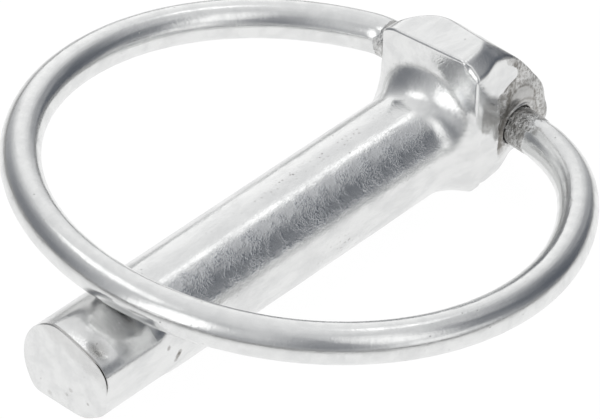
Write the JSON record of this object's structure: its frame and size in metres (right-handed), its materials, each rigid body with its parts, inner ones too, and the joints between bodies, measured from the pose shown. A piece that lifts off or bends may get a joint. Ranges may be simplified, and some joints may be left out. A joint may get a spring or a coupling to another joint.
{
  "type": "lynch pin",
  "caption": "Lynch pin: a forged round pin with a block head and a sprung wire ring that turns in a cross hole and snaps shut over the pressed end.",
  "frame": {"origin": "on the shank's axis, where its straight part starts beyond the fillet under the head", "axes": "+X along the shank towards the tip, +Z towards the side on which the ring is shut, +Y to the side"},
  "size_m": [0.0566, 0.0538, 0.0158],
  "materials": {
    "pin": "bright zinc plating over a forged surface, cloudy, with small pits and scratches",
    "ring": "bright zinc plating on drawn spring wire, with fine scratches"
  },
  "bodies": {
    "pin": {"pin": "pin"},
    "ring": {"ring": "ring"}
  },
  "joints": [
    {"name": "ring_hinge", "type": "hinge", "parent": "pin", "child": "ring", "pos_m": [-0.0098, 0, 0.0005], "axis": [-0.0593, -0.9982, 0], "range_deg": [0, 344.6]}
  ]
}
